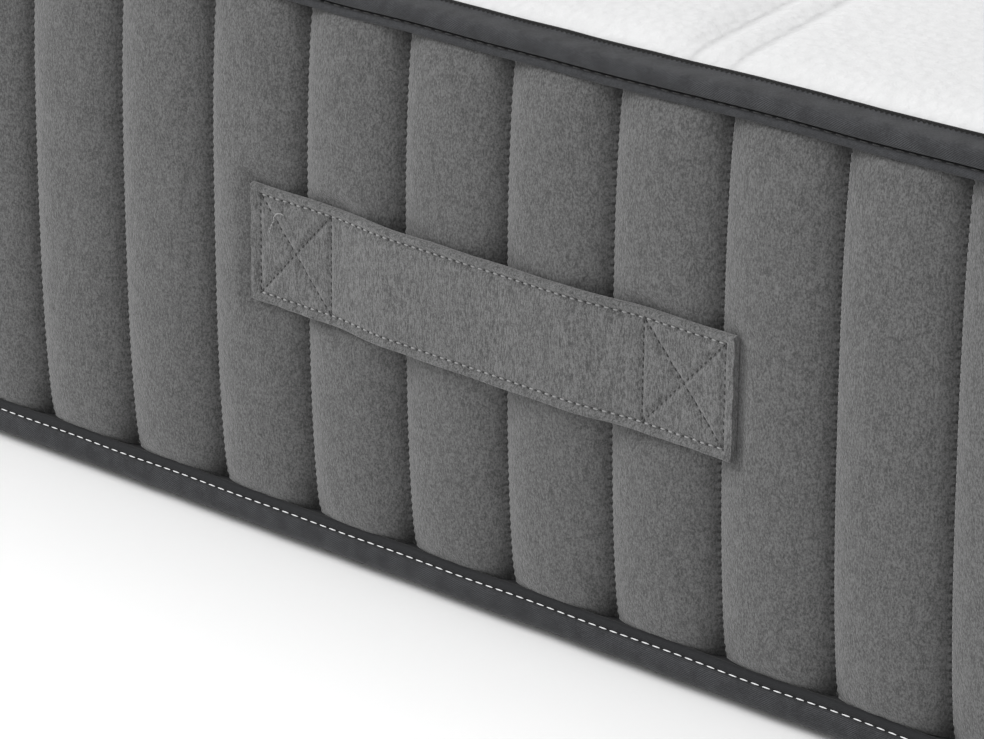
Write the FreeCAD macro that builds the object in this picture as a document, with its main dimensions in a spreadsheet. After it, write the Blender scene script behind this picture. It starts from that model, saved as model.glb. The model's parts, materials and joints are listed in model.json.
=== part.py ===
"""Pocket sprung mattress with four sewn side handles.

The mattress lies flat: X runs along its length, Y across it and Z up. The origin is the middle of
its underside. Everything is built around one rounded rectangle, the outline of the quilted side
border. An inset is a distance inwards from that outline, and a level is a height above the floor.
"""

import FreeCAD, Part

import math
import os

import Sketcher
from FreeCAD import Placement, Rotation, Vector

SIZES = {
    # overall
    "mattress_length": 2000,
    "mattress_width": 900,
    "mattress_height": 250,
    "corner_radius": 60,
    "clearance": 0.3,
    # underside, from the floor up
    "underside_fabric": 2,
    "underside_fleece": 4,
    "base_foam": 20,
    "bottom_felt": 3,
    "scrim": 1,
    # sleeping side, from the springs up
    "top_felt": 3,
    "comfort_foam": 40,
    "top_backing": 1,
    "top_wadding": 14,
    "top_knit": 2,
    # side border, from the outside in
    "border_fabric": 1.5,
    "border_foam": 9,
    "border_fleece": 1,
    "channel_pitch": 55,
    "seam_offset": 4.5,
    "thread_thickness": 0.8,
    # tape edges
    "bottom_tape_height": 18,
    "top_tape_height": 15,
    "tape_depth": 14,
    "tape_thickness": 1.5,
    "tape_roll_radius": 7,
    "tape_lip_radius": 3,
    "tape_stitch_drop": 3.5,
    # foam frame and springs
    "patch_space": 2,
    "rail_width": 60,
    "pocket_pitch": 75,
    "pocket_wall": 1,
    "coil_gap": 1.5,
    "coil_wire": 2,
    # handles
    "handle_spacing": 1000,
    "handle_height": 127,
    "handle_length": 260,
    "handle_width": 50,
    "handle_sewn": 45,
    "handle_ramp": 14,
    "handle_pad_gap": 1,
    "handle_grip_gap": 6.2,
    "strap_lining": 0.8,
    "strap_webbing": 1.2,
    "strap_face": 1,
    "webbing_margin": 3,
    "stitch_margin": 5,
    "patch_width": 60,
    "patch_length": 55,
    "patch_thickness": 1.2,
}
COIL_TURNS = 5
SPRING_ZONES = 5

doc = FreeCAD.newDocument("mattress")
sheet = doc.addObject("Spreadsheet::Sheet", "Sizes")
for row, (alias, value) in enumerate(SIZES.items(), 1):
    sheet.set(f"A{row}", alias)
    sheet.set(f"B{row}", str(value))
    sheet.setAlias(f"B{row}", alias)
doc.recompute()

nodes = []


def size(alias):
    """The value of one cell of the sheet, in millimetres."""
    return float(sheet.get(alias))


def bound(*aliases):
    """The sum of some cells, as an expression that other objects can be bound to."""
    return " + ".join(f"Sizes.{alias}" for alias in aliases)


def value(expression):
    """An expression worked out, in millimetres."""
    return float(sheet.evalExpression(expression))


def keep(feature, label):
    """Names a finished sub-part. Its label becomes its file's name."""
    feature.Label = label
    nodes.append(feature)
    return feature


# Levels of the stack, as expressions, from the floor up and from the sleeping side down.
FLOOR_STACK = ["underside_fabric", "underside_fleece", "base_foam", "bottom_felt", "scrim"]
TOP_STACK = ["top_knit", "top_wadding", "top_backing", "comfort_foam", "top_felt", "scrim"]


def level_above(layers):
    """The level on top of the first layers of the floor stack."""
    return bound(*FLOOR_STACK[:layers]) if layers else "0"


def level_below(layers):
    """The level underneath the first layers of the top stack."""
    return "Sizes.mattress_height - (" + bound(*TOP_STACK[:layers]) + ")"


BORDER_DEPTH = bound("border_fabric", "border_foam", "border_fleece")
RAIL_INSET = BORDER_DEPTH + " + Sizes.patch_space"
TOP_TAPE_FOOT = "Sizes.mattress_height - Sizes.top_knit - Sizes.top_tape_height"
SPRING_ROOM_X = f"Sizes.mattress_length - 2 * ({RAIL_INSET} + Sizes.rail_width + Sizes.clearance)"
SPRING_ROOM_Y = f"Sizes.mattress_width - 2 * ({RAIL_INSET} + Sizes.rail_width + Sizes.clearance)"


# Outlines -----------------------------------------------------------------------------------


def corner_centres(level=0):
    """The centres of the four rounded corners, counterclockwise from the front right one."""
    x = size("mattress_length") / 2 - size("corner_radius")
    y = size("mattress_width") / 2 - size("corner_radius")
    return [Vector(x, -y, level), Vector(x, y, level), Vector(-x, y, level), Vector(-x, -y, level)]


def outline_edges(inset, level=0):
    """The straight and rounded edges of the outline, in pairs, counterclockwise from the front."""
    radius = value(f"Sizes.corner_radius - ({inset})")
    centres = corner_centres(level)
    edges = []
    for i, centre in enumerate(centres):
        turn = (i - 1) * math.pi / 2
        ray = Vector(math.cos(turn), math.sin(turn), 0) * radius
        edges.append(Part.LineSegment(centres[i - 1] + ray, centre + ray))
        circle = Part.Circle(centre, Vector(0, 0, 1), radius)
        edges.append(Part.ArcOfCircle(circle, turn, turn + math.pi / 2))
    return edges


def draw_outline(sketch, inset):
    """Adds the border's outline, moved inwards by an inset, to a sketch and constrains it fully."""
    drawn = [sketch.addGeometry(edge) for edge in outline_edges(inset)]
    arcs = drawn[1::2]
    for i, edge in enumerate(drawn):
        sketch.addConstraint(Sketcher.Constraint("Tangent", edge, 2, drawn[(i + 1) % 8], 1))
    for i, line in enumerate(drawn[::2]):
        sketch.addConstraint(Sketcher.Constraint("Vertical" if i % 2 else "Horizontal", line))
    for arc in arcs[1:]:
        sketch.addConstraint(Sketcher.Constraint("Equal", arcs[0], arc))
    sketch.addConstraint(Sketcher.Constraint("Symmetric", arcs[0], 3, arcs[2], 3, -1, 1))
    centres = corner_centres()
    driven = [
        ("mattress_length - 2 * Sizes.corner_radius", "DistanceX", arcs[3], 3, arcs[0], 3, 2 * centres[0].x),
        ("mattress_width - 2 * Sizes.corner_radius", "DistanceY", arcs[0], 3, arcs[1], 3, 2 * centres[1].y),
        (f"corner_radius - ({inset})", "Radius", arcs[0], value(f"Sizes.corner_radius - ({inset})")),
    ]
    for expression, *constraint in driven:
        index = sketch.addConstraint(Sketcher.Constraint(*constraint))
        sketch.setExpression(f"Constraints[{index}]", f"Sizes.{expression}")


def layer(label, outer, bottom, thickness, inner=None):
    """A sheet with the mattress's rounded outline, or a ring when it has an inner inset too."""
    body = doc.addObject("PartDesign::Body", label)
    sketch = body.newObject("Sketcher::SketchObject", f"{label}_outline")
    plane = next(f for f in body.Origin.OriginFeatures if f.Role == "XY_Plane")
    sketch.AttachmentSupport = (plane, [""])
    sketch.MapMode = "FlatFace"
    draw_outline(sketch, outer)
    if inner:
        draw_outline(sketch, inner)
    pad = body.newObject("PartDesign::Pad", f"{label}_pad")
    pad.Profile = sketch
    pad.setExpression("Length", thickness)
    body.setExpression("Placement.Base.z", bottom)
    doc.recompute()
    return body


# Tape edges ---------------------------------------------------------------------------------


def outer_rim(shape, height, radius):
    """The names of the edges of a ring's outer rim at one height, for a fillet."""
    centre = corner_centres()[1]
    found = []
    for number, edge in enumerate(shape.Edges, 1):
        point = edge.valueAt((edge.FirstParameter + edge.LastParameter) / 2)
        reach = math.hypot(max(abs(point.x) - centre.x, 0), max(abs(point.y) - centre.y, 0))
        level = edge.BoundBox.ZLength < 1e-6 and abs(point.z - height) < 1e-6
        if level and abs(reach - radius) < 1e-6:
            found.append(f"Edge{number}")
    return found


def rolled_ring(label, outer, bottom, height, roll, lip, roll_at_top):
    """A ring as deep as the tape, with a large round on the side of the roll and a small one opposite."""
    body = layer(label, outer, bottom, height, inner="Sizes.tape_depth")
    rim = value(f"Sizes.corner_radius - ({outer})")
    for name, radius, at_top in (("roll", roll, roll_at_top), ("lip", lip, not roll_at_top)):
        base = body.Tip
        fillet = body.newObject("PartDesign::Fillet", f"{label}_{name}")
        fillet.Base = (base, outer_rim(base.Shape, value(height) if at_top else 0, rim))
        fillet.setExpression("Radius", radius)
        body.Tip = fillet
        doc.recompute()
    return body


def tape_edge(side, bottom, roll_at_top):
    """The folded tape along one edge of the mattress, and the sewn seam allowances that it wraps."""
    wall = "Sizes.tape_thickness"
    tall = f"Sizes.{side}_tape_height"
    whole = rolled_ring(f"{side}_tape_outside", "0", bottom, tall,
                        "Sizes.tape_roll_radius", "Sizes.tape_lip_radius", roll_at_top)
    core = rolled_ring(f"{side}_tape_inside", wall, f"{bottom} + {wall}", f"{tall} - 2 * {wall}",
                       f"Sizes.tape_roll_radius - {wall}", f"Sizes.tape_lip_radius - {wall}", roll_at_top)
    tape = doc.addObject("Part::Cut", f"{side}_tape")
    tape.Base = whole
    tape.Tool = core
    keep(tape, f"{side}_tape_edge")
    keep(core, f"{side}_tape_seam_allowance")


def tape_stitching(side, level):
    """A closed thread that lies on the tape all round the mattress at one level."""
    radius = size("thread_thickness") / 2
    path = Part.Wire([edge.toShape() for edge in outline_edges("-Sizes.thread_thickness / 2", value(level))])
    section = Part.Wire(Part.makeCircle(radius, path.Edges[0].firstVertex().Point, Vector(1, 0, 0)))
    thread = doc.addObject("Part::Feature", f"{side}_stitching")
    thread.Shape = path.makePipeShell([section], True, False)
    keep(thread, f"{side}_tape_stitching")


# Underside, border and sleeping side -----------------------------------------------------------


def build_flat_layers():
    """The layers under the springs and those over them, with the two outer covers."""
    panel = "Sizes.tape_depth"
    for number, label in enumerate(["underside_fabric", "underside_fleece", "base_foam"]):
        keep(layer(label, panel, level_above(number), f"Sizes.{FLOOR_STACK[number]}"), label)
    names = ["top_cover_knit", "top_cover_wadding", "top_cover_backing", "comfort_foam", "top_felt_pad",
             "top_spring_scrim"]
    for number, label in enumerate(names):
        keep(layer(label, panel, level_below(number + 1), f"Sizes.{TOP_STACK[number]}"), label)
    for number, label in ((3, "bottom_felt_pad"), (4, "bottom_spring_scrim")):
        sheet_box = doc.addObject("Part::Box", label)
        sheet_box.setExpression("Length", SPRING_ROOM_X)
        sheet_box.setExpression("Width", SPRING_ROOM_Y)
        sheet_box.setExpression("Height", f"Sizes.{FLOOR_STACK[number]}")
        sheet_box.setExpression("Placement.Base.x", f"-({SPRING_ROOM_X}) / 2")
        sheet_box.setExpression("Placement.Base.y", f"-({SPRING_ROOM_Y}) / 2")
        sheet_box.setExpression("Placement.Base.z", level_above(number))
        keep(sheet_box, label)


def build_border():
    """The quilted border's three layers, between the two tape edges."""
    tall = f"{TOP_TAPE_FOOT} - Sizes.bottom_tape_height"
    outer = "0"
    for number, alias in enumerate(["border_fabric", "border_foam", "border_fleece"]):
        inner = bound(*["border_fabric", "border_foam", "border_fleece"][:number + 1])
        keep(layer(alias, outer, "Sizes.bottom_tape_height", tall, inner=inner), alias)
        outer = inner


def build_edges():
    """The two tape edges, and the contrast stitching that shows on each."""
    tape_edge("bottom", "0", roll_at_top=False)
    tape_edge("top", TOP_TAPE_FOOT, roll_at_top=True)
    tape_stitching("bottom", "Sizes.bottom_tape_height - Sizes.tape_stitch_drop")
    tape_stitching("top", f"{TOP_TAPE_FOOT} + Sizes.tape_stitch_drop")


def point_on_outline(distance):
    """The point at a distance along the outline from the middle of its front, and which way it faces."""
    edges = outline_edges("0")
    distance += size("mattress_length") / 2 - size("corner_radius")
    distance %= sum(edge.length() for edge in edges)
    for edge in edges:
        if distance <= edge.length():
            break
        distance -= edge.length()
    parameter = edge.parameterAtDistance(distance, edge.FirstParameter)
    along = edge.tangent(parameter)[0]
    return edge.value(parameter), math.degrees(math.atan2(along.y, along.x)) - 90


def build_quilting_thread():
    """One upright line of lockstitch for each channel seam of the border."""
    thickness = size("thread_thickness")
    foot = size("bottom_tape_height") + size("clearance")
    tall = value(TOP_TAPE_FOOT) - size("clearance") - foot
    around = sum(edge.length() for edge in outline_edges("0"))
    channels = round(around / size("channel_pitch"))
    first = size("handle_spacing") / 2 + size("seam_offset")
    line = Part.makeBox(thickness, thickness, tall, Vector(0, -thickness / 2, foot))
    threads = []
    for channel in range(channels):
        point, facing = point_on_outline(first + around * channel / channels)
        threads.append(line.copy())
        threads[-1].Placement = Placement(point, Rotation(Vector(0, 0, 1), facing))
    group = doc.addObject("Part::Feature", "border_quilting_thread")
    group.Shape = Part.makeCompound(threads)
    keep(group, "border_quilting_thread")


# Foam frame and springs ---------------------------------------------------------------------


def build_foam_frame():
    """Four foam rails that stand on the base foam round the springs and carry the comfort foam."""
    bottom = level_above(3)
    tall = f"{level_below(6)} - ({bottom})"
    block = layer("rail_block", RAIL_INSET, bottom, tall)
    long_side = f"(Sizes.mattress_width / 2 - ({RAIL_INSET}))"
    for label, place in (("front_side_rail", f"-{long_side}"),
                         ("back_side_rail", f"{long_side} - Sizes.rail_width")):
        box = doc.addObject("Part::Box", f"{label}_cutter")
        box.setExpression("Length", "Sizes.mattress_length")
        box.setExpression("Width", "Sizes.rail_width")
        box.setExpression("Height", "Sizes.mattress_height")
        box.setExpression("Placement.Base.x", "-Sizes.mattress_length / 2")
        box.setExpression("Placement.Base.y", place)
        rail = doc.addObject("Part::Common", label)
        rail.Base = block
        rail.Tool = box
        keep(rail, label)
    end = f"(Sizes.mattress_length / 2 - ({RAIL_INSET}))"
    for label, place in (("head_end_rail", f"-{end}"), ("foot_end_rail", f"{end} - Sizes.rail_width")):
        rail = doc.addObject("Part::Box", label)
        rail.setExpression("Length", "Sizes.rail_width")
        rail.setExpression("Width", f"2 * {long_side} - 2 * Sizes.rail_width - 2 * Sizes.clearance")
        rail.setExpression("Height", tall)
        rail.setExpression("Placement.Base.x", place)
        rail.setExpression("Placement.Base.y", f"-{long_side} + Sizes.rail_width + Sizes.clearance")
        rail.setExpression("Placement.Base.z", bottom)
        keep(rail, label)


def coil_solid(radius, bottom, top):
    """A coil of square wire that stands between two levels on the Z axis."""
    half = size("coil_wire") / 2
    rise = top - bottom - 2 * half
    helix = Part.makeHelix(rise / COIL_TURNS, rise, radius - half)
    corners = [Vector(radius - half + x, 0, z) for x, z in
               ((-half, -half), (half, -half), (half, half), (-half, half), (-half, -half))]
    sweep = Part.BRepOffsetAPI.MakePipeShell(Part.Wire(helix.Edges))
    sweep.setBiNormalMode(Vector(0, 0, 1))
    sweep.add(Part.makePolygon(corners), False, False)
    sweep.build()
    sweep.makeSolid()
    return sweep.shape().translated(Vector(0, 0, bottom + half))


def pocket_solid(radius, bottom, top):
    """A closed fabric pocket with room for its coil inside."""
    wall = size("pocket_wall")
    outside = Part.makeCylinder(radius, top - bottom, Vector(0, 0, bottom))
    room = Part.makeCylinder(radius - wall, top - bottom - 2 * wall, Vector(0, 0, bottom + wall))
    return outside.cut(room)


def build_springs():
    """The pocketed coils, in rows along the mattress, with one node of coils and one of pockets a zone."""
    gap = size("clearance")
    wall = size("pocket_wall")
    room_x, room_y = value(SPRING_ROOM_X), value(SPRING_ROOM_Y)
    columns = int(room_x / size("pocket_pitch"))
    rows = int(room_y / size("pocket_pitch"))
    pitch_x, pitch_y = room_x / columns, room_y / rows
    radius = (min(pitch_x, pitch_y) - gap) / 2
    floor, ceiling = value(level_above(5)), value(level_below(6))
    pocket = pocket_solid(radius, floor, ceiling)
    coil = coil_solid(radius - wall - size("coil_gap"), floor + wall + gap, ceiling - wall - gap)
    for zone in range(SPRING_ZONES):
        first, last = (round(columns * end / SPRING_ZONES) for end in (zone, zone + 1))
        places = [Vector((column + 0.5) * pitch_x - room_x / 2, (row + 0.5) * pitch_y - room_y / 2, 0)
                  for column in range(first, last) for row in range(rows)]
        for kind, solid in (("coils", coil), ("pockets", pocket)):
            label = f"spring_{kind}_zone_{zone + 1}"
            group = doc.addObject("Part::Feature", label)
            group.Shape = Part.makeCompound([solid.translated(place) for place in places])
            keep(group, label)


# Handles ------------------------------------------------------------------------------------

STRAP_LAYERS = ["strap_lining", "strap_webbing", "strap_face"]
HANDLES = {
    "front_head": (-1, 0),
    "front_foot": (1, 0),
    "back_foot": (1, 180),
    "back_head": (-1, 180),
}


def handle_placement(side, turn):
    """Takes a front handle, drawn round x = 0 with its back at y = 0 and facing -Y, to its place."""
    half_y = size("mattress_width") / 2
    place = Vector(side * size("handle_spacing") / 2, -half_y if turn == 0 else half_y, size("handle_height"))
    return Placement(place, Rotation(Vector(0, 0, 1), turn))


def strap_depths(name):
    """How far the back and the front of one strap layer stand from the back of the strap."""
    index = STRAP_LAYERS.index(name)
    back = sum(size(n) for n in STRAP_LAYERS[:index])
    return back, back + size(name)


def sewn_end(name, width):
    """One layer of a strap's left end: the part sewn down, and the ramp up to the free span."""
    back, front = strap_depths(name)
    start = -size("handle_length") / 2
    sewn = start + size("handle_sewn")
    stop = sewn + size("handle_ramp") - size("clearance")
    low, high = size("handle_pad_gap"), size("handle_grip_gap")
    if name == "strap_webbing":
        start += size("webbing_margin")
    outline = [Vector(start, -low - back, 0), Vector(sewn, -low - back, 0), Vector(stop, -high - back, 0),
               Vector(stop, -high - front, 0), Vector(sewn, -low - front, 0), Vector(start, -low - front, 0)]
    face = Part.Face(Part.makePolygon(outline + outline[:1]))
    return face.extrude(Vector(0, 0, width)).translated(Vector(0, 0, -width / 2))


def both_ends(shape):
    """A shape at a strap's left end and its mirror image at the right end."""
    return [shape, shape.mirror(Vector(), Vector(1, 0, 0))]


def place_at_every_handle(label, shapes):
    """A node that holds copies of some shapes at each of the four handles."""
    solids = []
    for side, turn in HANDLES.values():
        place = handle_placement(side, turn)
        for shape in shapes:
            copy = shape.copy()
            copy.Placement = place.multiply(copy.Placement)
            solids.append(copy)
    group = doc.addObject("Part::Feature", label)
    group.Shape = Part.makeCompound(solids)
    keep(group, label)


def strap_width(name):
    """The webbing is narrower than the fabric that is folded round it."""
    return size("handle_width") - (2 * size("webbing_margin") if name == "strap_webbing" else 0)


def box_stitches():
    """The frame and the cross of thread that hold a strap's left end down."""
    thick = size("thread_thickness")
    front = size("handle_pad_gap") + sum(size(n) for n in STRAP_LAYERS)
    margin = size("stitch_margin")
    left = margin - size("handle_length") / 2
    right = size("handle_sewn") - thick - size("handle_length") / 2
    half = size("handle_width") / 2 - margin
    corners = [Vector(left, 0, -half), Vector(right, 0, -half), Vector(right, 0, half), Vector(left, 0, half)]
    rows = [(0, 1), (1, 2), (3, 2), (3, 0), (0, 2), (1, 3)]
    lines = []
    for first, last in rows:
        run = corners[last] - corners[first]
        line = Part.makeBox(run.Length + thick, thick, thick, Vector(-thick / 2, -thick, -thick / 2))
        line.Placement = Placement(corners[first] - Vector(0, front, 0), Rotation(Vector(1, 0, 0), run))
        lines.append(line)
    return lines[0].fuse(lines[1:]).removeSplitter()


def build_handles():
    """Four handles: a lined fabric strap on a webbing core, sewn through the border to a patch."""
    for name, label in (("strap_face", "handle_end_fabrics"), ("strap_webbing", "handle_end_webbings"),
                        ("strap_lining", "handle_end_linings")):
        place_at_every_handle(label, both_ends(sewn_end(name, strap_width(name))))
    place_at_every_handle("handle_box_stitches", both_ends(box_stitches()))
    patch = Part.makeBox(size("patch_length"), size("patch_thickness"), size("patch_width"))
    patch.translate(Vector(-size("handle_length") / 2 - (size("patch_length") - size("handle_sewn")) / 2,
                           value(BORDER_DEPTH) + size("clearance"), -size("patch_width") / 2))
    place_at_every_handle("handle_backing_patches", both_ends(patch))
    span = f"Sizes.handle_length - 2 * ({bound('handle_sewn', 'handle_ramp')})"
    for handle, (side, turn) in HANDLES.items():
        facing = -1 if turn == 0 else 1
        for name, part in zip(STRAP_LAYERS, ("lining", "webbing", "fabric")):
            index = STRAP_LAYERS.index(name)
            back = bound("handle_grip_gap", *STRAP_LAYERS[:index])
            far = bound("handle_grip_gap", *STRAP_LAYERS[:index + 1])
            narrow = " - 2 * Sizes.webbing_margin" if name == "strap_webbing" else ""
            strap = doc.addObject("Part::Box", f"{handle}_{part}")
            strap.setExpression("Length", span)
            strap.setExpression("Width", f"Sizes.{name}")
            strap.setExpression("Height", f"Sizes.handle_width{narrow}")
            strap.setExpression("Placement.Base.x", f"{side} * Sizes.handle_spacing / 2 - ({span}) / 2")
            strap.setExpression("Placement.Base.y", f"-(Sizes.mattress_width / 2 + {far})" if facing < 0
                                else f"Sizes.mattress_width / 2 + {back}")
            strap.setExpression("Placement.Base.z", f"Sizes.handle_height - (Sizes.handle_width{narrow}) / 2")
            keep(strap, f"{handle}_grip_{part}")
        thick = "Sizes.thread_thickness"
        front = bound("handle_grip_gap", *STRAP_LAYERS)
        rows = []
        for edge in (-1, 1):
            row = doc.addObject("Part::Box", f"{handle}_row_{'lower' if edge < 0 else 'upper'}")
            row.setExpression("Length", span)
            row.setExpression("Width", thick)
            row.setExpression("Height", thick)
            row.setExpression("Placement.Base.x", f"{side} * Sizes.handle_spacing / 2 - ({span}) / 2")
            row.setExpression("Placement.Base.y", f"-(Sizes.mattress_width / 2 + {front} + {thick})"
                              if facing < 0 else f"Sizes.mattress_width / 2 + {front}")
            row.setExpression("Placement.Base.z", f"Sizes.handle_height - {thick} / 2 + "
                              f"{edge} * (Sizes.handle_width / 2 - Sizes.stitch_margin)")
            rows.append(row)
        pair = doc.addObject("Part::Compound", f"{handle}_rows")
        pair.Links = rows
        keep(pair, f"{handle}_grip_stitching")


def check_and_write():
    """Stops on a failed object or a bad shape, then writes each sub-part to its own file."""
    doc.recompute()
    for feature in doc.Objects:
        if set(feature.State) & {"Invalid", "Error"}:
            raise RuntimeError(f"{feature.Label} failed: {feature.State}")
    for feature in nodes:
        shape = feature.Shape
        if shape.isNull() or not shape.isValid() or not shape.Solids:
            raise RuntimeError(f"{feature.Label} has no valid solid")
    os.makedirs("parts", exist_ok=True)
    for feature in nodes:
        feature.Shape.exportStep(os.path.join("parts", f"{feature.Label}.step"))
    print(len(nodes), "nodes,", sum(len(f.Shape.Solids) for f in nodes), "solids")


build_flat_layers()
build_border()
build_edges()
build_quilting_thread()
build_foam_frame()
build_springs()
build_handles()
check_and_write()
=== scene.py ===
"""The looks of a pocket sprung mattress: quilted border, tape edges, sewn handles and knitted top.

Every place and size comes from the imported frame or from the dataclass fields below, in metres. The
border, the tapes and the threads all follow one rounded rectangle, the Outline. A distance along it
starts at the middle of the front and runs counterclockwise; "out" is how far a point stands outside it.
"""

import json
import logging
import math
from dataclasses import dataclass, field
from enum import Enum
from typing import Callable, Iterable, Optional, Union

import bmesh
import bpy
import numpy as np
from mathutils import Matrix, Vector


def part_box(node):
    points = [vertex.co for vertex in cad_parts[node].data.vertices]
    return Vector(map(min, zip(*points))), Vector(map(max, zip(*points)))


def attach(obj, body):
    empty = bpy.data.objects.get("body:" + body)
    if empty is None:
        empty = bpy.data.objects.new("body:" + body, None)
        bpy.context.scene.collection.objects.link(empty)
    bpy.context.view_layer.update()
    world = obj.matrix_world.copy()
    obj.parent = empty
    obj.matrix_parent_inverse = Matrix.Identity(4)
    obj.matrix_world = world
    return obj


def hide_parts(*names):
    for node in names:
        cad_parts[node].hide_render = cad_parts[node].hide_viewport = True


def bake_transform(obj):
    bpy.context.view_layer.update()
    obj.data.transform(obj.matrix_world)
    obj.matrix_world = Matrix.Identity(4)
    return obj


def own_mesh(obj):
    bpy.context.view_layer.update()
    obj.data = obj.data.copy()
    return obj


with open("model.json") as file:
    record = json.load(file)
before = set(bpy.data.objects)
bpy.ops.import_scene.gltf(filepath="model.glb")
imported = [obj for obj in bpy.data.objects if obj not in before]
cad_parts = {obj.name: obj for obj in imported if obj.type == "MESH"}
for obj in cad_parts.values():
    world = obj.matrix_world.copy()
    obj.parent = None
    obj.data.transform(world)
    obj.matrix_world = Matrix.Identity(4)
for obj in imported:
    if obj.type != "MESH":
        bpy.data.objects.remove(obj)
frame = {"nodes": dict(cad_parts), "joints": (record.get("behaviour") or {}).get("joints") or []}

LOG = logging.getLogger("mattress")
MM = 0.001
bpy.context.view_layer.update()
Array = np.ndarray


# Where things are ------------------------------------------------------------------------------


def node_points(node: str) -> Array:
    """The places of a CAD node's vertices, in the row frame."""
    mesh = frame["nodes"][node].data
    points = np.zeros(len(mesh.vertices) * 3, np.float32)
    mesh.vertices.foreach_get("co", points)
    return points.reshape(-1, 3).astype(float)


@dataclass(frozen=True)
class Outline:
    """The rounded rectangle that the border follows, seen from above."""

    half_x: float
    half_y: float
    radius: float

    @classmethod
    def of_node(cls, node: str) -> "Outline":
        """Reads the outline off a CAD ring's outer face."""
        points = node_points(node)
        half_x, half_y = points[:, 0].max(), points[:, 1].max()
        on_front = points[points[:, 1] < -half_y + 0.01 * MM]
        return cls(half_x, half_y, half_x - on_front[:, 0].max())

    @property
    def straight(self) -> tuple[float, float]:
        """The lengths of the front's and of the end's straight stretch."""
        return 2 * (self.half_x - self.radius), 2 * (self.half_y - self.radius)

    @property
    def length(self) -> float:
        """The distance once round."""
        return 2 * sum(self.straight) + 2 * math.pi * self.radius

    def place(self, along: Array, out: Array, height: Array) -> Array:
        """Turns distances along, out and up into points.

        Args:
            along: distances along the outline from the middle of its front.
            out: how far each point stands outside the outline.
            height: the points' heights above the floor.

        Returns:
            The points, one row each.
        """
        along, out, height = np.broadcast_arrays(along, out, height)
        left = np.mod(along + self.straight[0] / 2, self.length)
        quarter = math.pi * self.radius / 2
        x, y = np.zeros(left.shape), np.zeros(left.shape)
        start = 0.0
        for side in range(4):
            turn = (side - 1) * math.pi / 2
            run = self.straight[side % 2]
            before, after = self.corner(side - 1), self.corner(side)
            normal = np.array([math.cos(turn), math.sin(turn)])
            on_line = (left >= start) & (left < start + run)
            step = left - start
            reach = self.radius + out
            for axis, place in enumerate((x, y)):
                tangent = (-normal[1], normal[0])[axis]
                place[on_line] = (before[axis] + normal[axis] * reach + tangent * step)[on_line]
            start += run
            on_arc = (left >= start) & (left <= start + quarter)
            angle = turn + (left - start) / self.radius
            x[on_arc] = (after[0] + np.cos(angle) * reach)[on_arc]
            y[on_arc] = (after[1] + np.sin(angle) * reach)[on_arc]
            start += quarter
        return np.stack([x, y, height], axis=-1)

    def corner(self, number: int) -> tuple[float, float]:
        """The centre of a rounded corner, counted from the front right one."""
        x, y = self.straight[0] / 2, self.straight[1] / 2
        return ((x, -y), (x, y), (-x, y), (-x, -y))[number % 4]


@dataclass(frozen=True)
class Channels:
    """How the upright quilting seams divide the outline."""

    outline: Outline
    first: float
    count: int

    @classmethod
    def of_node(cls, outline: Outline, node: str) -> "Channels":
        """Reads the seams off the CAD quilting threads on the front."""
        points = node_points(node)
        front = points[points[:, 1] < -outline.half_y - 0.5 * MM, 0]
        front = np.unique(np.round(front[np.abs(front) < outline.straight[0] / 2], 5))
        middles = (front[::2] + front[1::2]) / 2
        pitch = float(np.median(np.diff(middles)))
        return cls(outline, float(middles[-1]), round(outline.length / pitch))

    @property
    def pitch(self) -> float:
        """The width of one channel."""
        return self.outline.length / self.count


# Meshes ----------------------------------------------------------------------------------------

Shape = Callable[[Array, Array], Array]


def finished(name: str, mesh: bpy.types.Mesh, material: bpy.types.Material) -> bpy.types.Object:
    """Puts a mesh in the scene as a smooth piece with one material."""
    mesh.name = name
    mesh.materials.append(material)
    mesh.shade_smooth()
    piece = bpy.data.objects.new(name, mesh)
    bpy.context.scene.collection.objects.link(piece)
    return piece


def shaped_grid(columns: int, rows: int, shape: Shape, pattern: Optional[Shape] = None) -> bpy.types.Mesh:
    """A grid whose vertices are moved to a shape.

    Args:
        columns: faces along the first direction.
        rows: faces along the second direction.
        shape: takes the column and row numbers of the vertices, and gives their places.
        pattern: takes the same numbers, and gives UV coordinates in metres.

    Returns:
        The mesh, open at its edges.
    """
    bm = bmesh.new()
    bmesh.ops.create_grid(bm, x_segments=columns, y_segments=rows, size=0.5)
    mesh = bpy.data.meshes.new("grid")
    bm.to_mesh(mesh)
    bm.free()
    places = np.zeros(len(mesh.vertices) * 3, np.float32)
    mesh.vertices.foreach_get("co", places)
    places = places.reshape(-1, 3)
    column = np.rint((places[:, 0] + 0.5) * columns).astype(int)
    row = np.rint((places[:, 1] + 0.5) * rows).astype(int)
    mesh.vertices.foreach_set("co", shape(column, row).astype(np.float32).ravel())
    if pattern:
        corner = np.zeros(len(mesh.loops), np.int32)
        mesh.loops.foreach_get("vertex_index", corner)
        layer = mesh.uv_layers.new(name="UVMap")
        layer.data.foreach_set("uv", pattern(column, row)[corner].astype(np.float32).ravel())
    mesh.update()
    return mesh


def closed(mesh: bpy.types.Mesh, gap: float = 0.01 * MM) -> bpy.types.Mesh:
    """Merges the vertices that meet, caps what stays open and turns every face outwards."""
    bm = bmesh.new()
    bm.from_mesh(mesh)
    bmesh.ops.remove_doubles(bm, verts=bm.verts, dist=gap)
    rim = [edge for edge in bm.edges if edge.is_boundary]
    if rim:
        bmesh.ops.holes_fill(bm, edges=rim, sides=0)
        for edge in rim:
            edge.smooth = False
    bmesh.ops.recalc_face_normals(bm, faces=bm.faces)
    bm.to_mesh(mesh)
    bm.free()
    return mesh


def eased(count: int, share: float) -> Array:
    """Numbers from 0 to 1, closer together at both ends by a share of a cosine."""
    even = np.linspace(0, 1, count + 1)
    return (1 - share) * even + share * (0.5 - 0.5 * np.cos(math.pi * even))


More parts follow.
